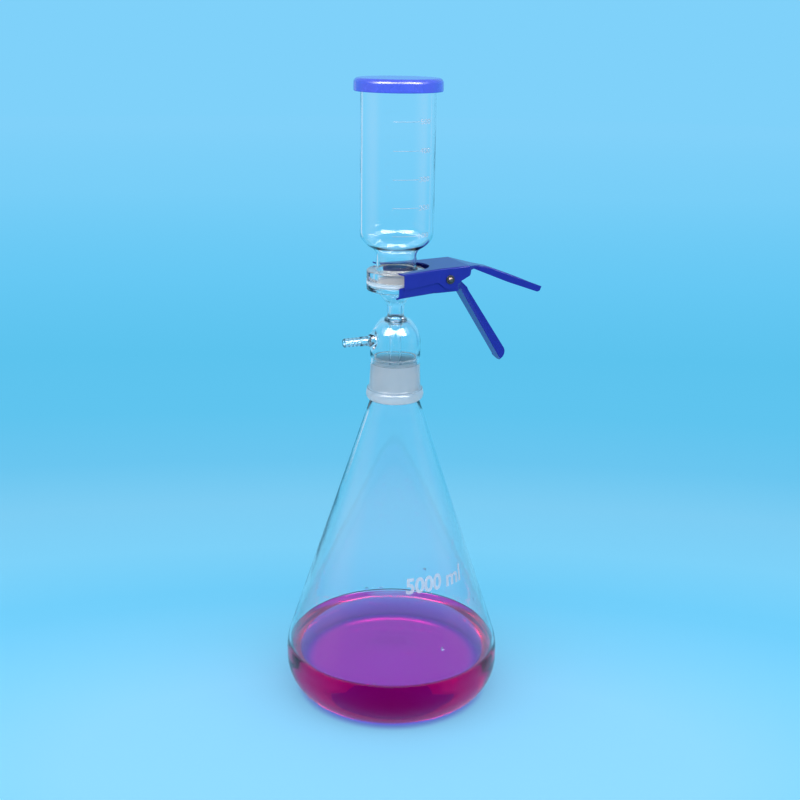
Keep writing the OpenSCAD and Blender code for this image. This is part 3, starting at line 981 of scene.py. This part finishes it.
def folded_sheet(name, node):
    """A jaw with its long folds rounded, made from a copy of the node's mesh.
    Its cut edges stay sharp, and so do the ends of a fold beside a rounded tip."""
    mesh = bmesh.new()
    mesh.from_mesh(frame["nodes"][node].data)
    bmesh.ops.remove_doubles(mesh, verts=mesh.verts, dist=WELD * MM)
    bmesh.ops.dissolve_limit(
        mesh, angle_limit=math.radians(1.0), verts=mesh.verts, edges=mesh.edges)
    bmesh.ops.remove_doubles(mesh, verts=mesh.verts, dist=SLIVER * MM)
    folds = [edge for edge in mesh.edges if is_fold(edge)]
    for edge in folds:
        parts = [edge]
        for vert in edge.verts[:]:
            end = next(part for part in parts if vert in part.verts)
            if any(other.calc_length() < FOLD_R * MM for other in vert.link_edges):
                share = FOLD_END * MM / end.calc_length()
                parts.append(bmesh.utils.edge_split(end, vert, share)[0])
    mesh.edges.ensure_lookup_table()
    weight = mesh.edges.layers.float.new("bevel_weight_edge")
    for edge in mesh.edges:
        if is_fold(edge):
            edge[weight] = 1.0
    piece = solid(name, mesh, crease=24)
    step = piece.modifiers.new("round", "BEVEL")
    step.limit_method = "WEIGHT"
    step.width = FOLD_R * MM
    step.segments = 4
    step.use_clamp_overlap = False
    step.harden_normals = True
    return baked(piece)


for name, body in (("upper_jaw", "upper_jaw"), ("lower_jaw", "stand")):
    fitted(folded_sheet(name + "_sheet", "clamp_" + name),
           body, ANODISED, ["clamp_" + name])


def across_clamp(side):
    """Lays a turned piece along Y at the pivot, with its outer end towards that side."""
    return (Matrix.Translation((PIVOT[0] * MM, 0, PIVOT[2] * MM))
            @ Matrix.Rotation(math.radians(-90 * side), 4, "X"))


def rivet():
    """The pin with a low domed head at both ends, as one outline along its own axis."""
    end = high("clamp_pivot_pin")[1]
    head = end - RIVET_HEAD_H
    edge = head + RIVET_EDGE
    half = [(PIN_R, head)] + arc(
        RIVET_HEAD_R - RIVET_EDGE, edge, RIVET_EDGE, RIVET_EDGE, -90, 0, 4)
    dome = arc(0, edge, RIVET_HEAD_R, end - edge, 6, 90, 12)
    outline = ([(0, -end)] + [(r, -z) for r, z in reversed(dome[:-1])]
               + [(r, -z) for r, z in reversed(half)] + half + dome[:-1] + [(0, end)])
    return turned("pivot_rivet", outline, 64, crease=50, lay=across_clamp(1))


def washer(name, node, side):
    """A flat ring between the heights of its node, with softened edges."""
    inner = abs(low(node)[1] if side > 0 else high(node)[1])
    outer = abs(high(node)[1] if side > 0 else low(node)[1])
    soft, edge = 0.25, 0.1
    hole = PIN_R + 0.05 + edge
    outline = (
        arc(WASHER_R - soft, inner + soft, soft, soft, -90, 0, 4)
        + arc(WASHER_R - soft, outer - soft, soft, soft, 0, 90, 4)
        + arc(hole, outer - edge, edge, edge, 90, 180, 3)
        + arc(hole, inner + edge, edge, edge, 180, 270, 3))
    return turned(name, outline, 64, lay=across_clamp(side))


fitted(rivet(), "stand", RIVET, ["clamp_pivot_pin"])
for end, side in (("near", -1), ("far", 1)):
    fitted(washer("washer_" + end, "clamp_washer_" + end, side),
           "stand", WASHER, ["clamp_washer_" + end])


WIRE_R = 0.8
COIL_R = 4.6
COIL_TURNS = 6.5
LEG = 20
LEG_UP = 9.9
LEG_DOWN = 10.6


def spring_path():
    """Centre line of the torsion spring: a leg, the coil round the pivot, and the other leg."""
    def tilt(height):
        return math.asin(height / math.hypot(LEG, COIL_R)) - math.atan2(COIL_R, LEG)

    def place(turn, away, y):
        return (COIL_R * math.cos(turn) + away * math.sin(turn), y,
                COIL_R * math.sin(turn) - away * math.cos(turn))
    half = COIL_TURNS * WIRE_R * 1.02
    start = math.pi / 2 + tilt(LEG_UP)
    end = math.pi / 2 + COIL_TURNS * 2 * math.pi - tilt(LEG_DOWN)
    steps = int(COIL_TURNS * 28)
    path = [place(start, LEG * (1 - i / 8), half) for i in range(9)]
    path += [place(start + (end - start) * i / steps, 0, half - 2 * half * i / steps)
             for i in range(1, steps)]
    path += [place(end, -LEG * i / 8, -half) for i in range(9)]
    return [((PIVOT[0] + x) * MM, y * MM, (PIVOT[2] + z) * MM) for x, y, z in path]


def wire_tree(wire, given):
    """Round wire along the path."""
    path = wire.add("GeometryNodeMeshToCurve", None, {"Mesh": given["Geometry"]}, "Curve")
    ring = wire.add("GeometryNodeCurvePrimitiveCircle", None, {
        "Resolution": given["Sides"], "Radius": given["Radius"]}, "Curve")
    return wire.add("GeometryNodeCurveToMesh", None, {
        "Curve": path, "Profile Curve": ring, "Fill Caps": True}, "Mesh")


path = spring_path()
spring = grown("clamp_spring_wire", wire_tree, {
    "Sides": 14, "Radius": WIRE_R * MM, "Finish": SPRING},
    path, [(i, i + 1) for i in range(len(path) - 1)])
spring.data.shade_smooth()
fitted(spring, None, SPRING, ["clamp_spring"])
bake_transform(spring)


# ---------- studio ----------

def aimed(eye, forward, roll):
    """A camera or lamp matrix at eye, looking along forward and rolled about it."""
    forward = forward.normalized()
    right = forward.cross(Vector((0, 0, 1))).normalized()
    up = right.cross(forward)
    c, s = math.cos(roll), math.sin(roll)
    side, top = right * c + up * s, up * c - right * s
    turn = Matrix((side, top, -forward)).transposed().to_4x4()
    return Matrix.Translation(eye) @ turn


VIEW_TURN = math.radians(24)


def from_view(x, y, z):
    """A place given to the right of, beyond and above the object, seen from the camera's side."""
    c, s = math.cos(VIEW_TURN), math.sin(VIEW_TURN)
    return Vector((x * c + y * s, -x * s + y * c, z))


EYE = (0, -1.1847, 0.6866)        # the camera's place, for from_view
YAW = math.radians(0.266)
PITCH = math.radians(17.296)
ROLL = math.radians(0.806)
camera_data = bpy.data.cameras.new("camera")
camera_data.sensor_width = 36
camera_data.lens = 55.08
camera_data.clip_end = 60
camera = placed("camera", camera_data)
camera.matrix_world = aimed(
    from_view(*EYE),
    from_view(math.sin(YAW) * math.cos(PITCH), math.cos(YAW) * math.cos(PITCH), -math.sin(PITCH)),
    ROLL)
bpy.context.scene.camera = camera


SOFTBOX_AT = (0.80, -0.80, 1.36)  # the right one, for from_view; the left is its mirror
SOFTBOX_SIZE = (2.0, 0.74)
SOFTBOX_WATTS = 9


def softbox(name, side):
    """A rectangular lamp on one side, aimed at the object."""
    light = bpy.data.lights.new(name, "AREA")
    light.shape = "RECTANGLE"
    light.size, light.size_y = SOFTBOX_SIZE
    light.energy = SOFTBOX_WATTS
    light.color = (1.0, 0.985, 0.97)
    lamp = placed(name, light)
    x, y, z = SOFTBOX_AT
    eye = from_view(side * x, y, z)
    lamp.matrix_world = aimed(eye, Vector((0, 0, 0.38)) - eye, 0)
    lamp.visible_camera = False


def undimmed(wire):
    """1 for the rays that reach the eye through gloss and glass alone, without a matt surface."""
    lit = wire.add("ShaderNodeLightPath", None, None, "Diffuse Depth")
    return lit.math("LESS_THAN", 0.5)


def backdrop_seen(wire):
    """1 for the rays that look at the background, directly, in gloss or through glass."""
    rays = wire.add("ShaderNodeLightPath").socket.node.outputs
    direct, glossy, through = (
        Wire(wire.tree, rays["Is %s Ray" % kind]) for kind in ("Camera", "Glossy", "Transmission"))
    seen = direct.math("MAXIMUM", glossy.math("MAXIMUM", through))
    return seen * undimmed(wire)


softbox("softbox_left", -1)
softbox("softbox_right", 1)


WHITE_CARD = ink(246, 240, 248)
STRIP_AWAY = 1.7                  # metres from the object
STRIP_LEVEL = 18.0                # times plain white
# (turn, bottom, top) in degrees, from over the camera round to one side
STRIP_SHAPE = [(0, 40, 50), (16, 34, 53), (32, 28, 56), (48, 24, 56), (62, 22, 53)]


def reflector(name, mesh, strength, fade=None):
    """A lit sheet beside the object that only gloss and glass can see. It brightens the soft gloss
    of the cap and the jaws as well as the glass."""
    piece = solid(name, mesh)
    material, wire = new_finish(name + "_finish")
    glow = wire.add("ShaderNodeEmission", None, {"Color": WHITE_CARD, "Strength": strength})
    gap = wire.add("ShaderNodeBsdfTransparent")
    share = fade(wire) if fade else undimmed(wire)
    close_finish(wire, share.between(gap, glow))
    piece.data.materials.append(material)
    piece.visible_camera = False
    piece.visible_diffuse = False
    piece.visible_shadow = False


def card(name, x, y, z, width, height, share):
    """A white card beside the object; it fades towards its edges."""
    eye = from_view(x, y, z)
    turn = aimed(eye, Vector((-eye.x, -eye.y, 0)), 0)
    mesh = bmesh.new()
    bmesh.ops.create_grid(mesh, x_segments=1, y_segments=1, size=0.5)
    bmesh.ops.transform(
        mesh, verts=mesh.verts, matrix=turn @ Matrix.Diagonal((width, height, 1, 1)))

    def fade(wire):
        where, _ = place_on_piece(wire)
        shares = []
        for column, half in ((0, width / 2), (1, height / 2)):
            axis = turn.col[column].to_3d()
            along = wire.add("ShaderNodeVectorMath", {"operation": "DOT_PRODUCT"}, {
                "Vector": where, "Vector_001": tuple(axis)}, "Value") - axis.dot(eye)
            shares.append(along.math("ABSOLUTE").ease(half, half * 0.15))
        return shares[0] * shares[1] * share
    reflector(name, mesh, 1.0, fade)


def strip(name, side):
    """The bright front of a softbox, from over the camera round to one side."""
    mesh = bmesh.new()
    rows = []
    for turn, bottom, top in STRIP_SHAPE:
        turn = math.radians(turn) * side
        rows.append([
            mesh.verts.new(Vector((0, 0, 0.385)) + STRIP_AWAY * from_view(
                math.sin(turn) * math.cos(math.radians(up)),
                -math.cos(turn) * math.cos(math.radians(up)), math.sin(math.radians(up))))
            for up in (bottom, top)])
    for one, two in zip(rows, rows[1:]):
        mesh.faces.new((one[0], two[0], two[1], one[1]))
    reflector(name, mesh, STRIP_LEVEL)


strip("strip_left", -1)
strip("strip_right", 1)
card("card_behind_left", -0.80, 1.05, 0.35, 0.3, 1.1, 0.9)
card("card_left", -1.25, -0.10, 0.35, 1.9, 1.2, 0.6)
card("card_right", 1.25, -0.10, 0.35, 1.2, 1.2, 0.35)


# Tones of the bench by distance from the object, with painted light and shade in them: lighter
# close round it, a painted sheen band from 0.5 to 0.66, and darker rings of painted shade between
# and beyond.
BENCH_TONES_WITH_PAINTED_LIGHT = [
    (0.0, ink(143, 216, 255)), (0.16, ink(141, 215, 255)), (0.24, ink(128, 212, 252)),
    (0.36, ink(110, 206, 248)), (0.5, ink(124, 210, 248)), (0.66, ink(124, 206, 244)),
    (0.84, ink(106, 199, 241)), (1.1, ink(95, 196, 239)), (1.5, ink(92, 195, 238)),
    (2.3, ink(102, 200, 244)), (4.0, ink(119, 206, 248)), (7.0, ink(128, 209, 250))]
FLOOR_R = 8.0
TONE_SQUASH = 0.5                 # the rings of tone are wider to the right and left
TONE_SHIFT = 0.15                 # and their middle lies this far before the object, so the painted shade comes nearer behind it
BLEND_R = (0.25, 1.2)             # radii over which the backdrop's colour takes over
BENCH_PAINT = 0.98
BENCH_GAP = 0.15                  # between the foot and the bench, so the two never touch
PAINTED_FILTRATE_GLOW = ink(150, 80, 236)   # painted light: a violet glow on the bench under the flask, in place of light through the filtrate
PAINTED_RIM_GLOW = ink(100, 92, 226)     # and a bluer painted glow where that light would pass the bottom rim of the glass
FILTRATE_GLOW_EDGE = (0.105, 0.088)       # radii, in metres, over which that painted glow comes in
RIM_GLOW_EDGE = (0.082, 0.094)         # and over which it takes the rim's tone


def floor_finish():
    """Matt pale blue bench that turns into the backdrop's own colour far from the object. Its tones
    hold painted light and shade round the object, and under the flask it carries a painted violet
    glow.
    """
    material, wire = new_finish("bench_top")
    where, (x, y, _) = place_on_piece(wire)
    c, s = math.cos(VIEW_TURN), math.sin(VIEW_TURN)
    right = (x * c - y * s) * TONE_SQUASH
    beyond = x * s + y * c + TONE_SHIFT
    away = (right * right + beyond * beyond) ** 0.5
    tone = (away * (1 / FLOOR_R)).ramp([(place / FLOOR_R, tone) for place, tone in BENCH_TONES_WITH_PAINTED_LIGHT])
    radius = (x * x + y * y) ** 0.5
    # painted light: under the flask the bench takes a violet glow, bluer below the glass's bottom
    # rim
    under = radius.ease(*FILTRATE_GLOW_EDGE)
    through = radius.ease(*RIM_GLOW_EDGE).mixed(PAINTED_FILTRATE_GLOW, PAINTED_RIM_GLOW)
    tone = under.mixed(tone, through)
    speckle = wire.noise(where, 800.0, 2.0)
    paint = wire.add("ShaderNodeVectorMath", {"operation": "SCALE"}, {
        "Vector": tone, "Scale": BENCH_PAINT})
    matt = wire.surface({
        "Base Color": paint, "Roughness": 0.9, "Specular IOR Level": 0.1,
        "Normal": wire.bump(speckle, 0.01 * MM)})
    glow = wire.add("ShaderNodeEmission", None, {"Color": tone, "Strength": 1.0})
    far = away.ease(*BLEND_R, 0.4, 1.0)
    # painted light: for the rays that see it, the bench under the flask shines mostly with its
    # painted glow instead of being lit
    far = far.math("MAXIMUM", under * 0.9)
    close_finish(wire, (far * backdrop_seen(wire)).between(matt, glow))
    return material


def make_floor():
    mesh = bmesh.new()
    bmesh.ops.create_circle(mesh, cap_ends=True, segments=96, radius=FLOOR_R)
    bmesh.ops.translate(mesh, verts=mesh.verts, vec=(0, 0, -BENCH_GAP * MM))
    floor = solid("bench", mesh)
    floor.data.materials.append(floor_finish())


# how much light comes from below (0), from the horizon (0.5) and from overhead (1)
SKY_LIGHT = [(0.0, 0.26), (0.5, 0.58), (0.66, 0.62), (0.85, 0.8), (1.0, 0.95)]


def make_world():
    """Backdrop colour for what is seen, and a plain soft light for what is lit."""
    world, wire = new_finish("studio", "worlds")
    bpy.context.scene.world = world
    where = wire.add("ShaderNodeTexCoord", None, None, "Generated")
    height = wire.add("ShaderNodeSeparateXYZ", None, {"Vector": where}, "Z")
    tone = height.ramp([
        (0.0, ink(127, 209, 250)), (0.18, ink(132, 212, 250)), (0.45, ink(150, 205, 238)),
        (1.0, ink(160, 190, 220))])
    seen = wire.add("ShaderNodeBackground", None, {"Color": tone, "Strength": 1.0})
    sky = (height * 0.5 + 0.5).ramp([
        (place, (level * 0.9, level * 0.94, level, 1.0)) for place, level in SKY_LIGHT])
    light = wire.add("ShaderNodeBackground", None, {"Color": sky, "Strength": 1.0})
    close_finish(wire, backdrop_seen(wire).between(light, seen), output="World")


make_floor()
make_world()
scene = bpy.context.scene
scene.view_settings.view_transform = "Standard"
scene.cycles.max_bounces = scene.cycles.transmission_bounces = GLASS_BOUNCES
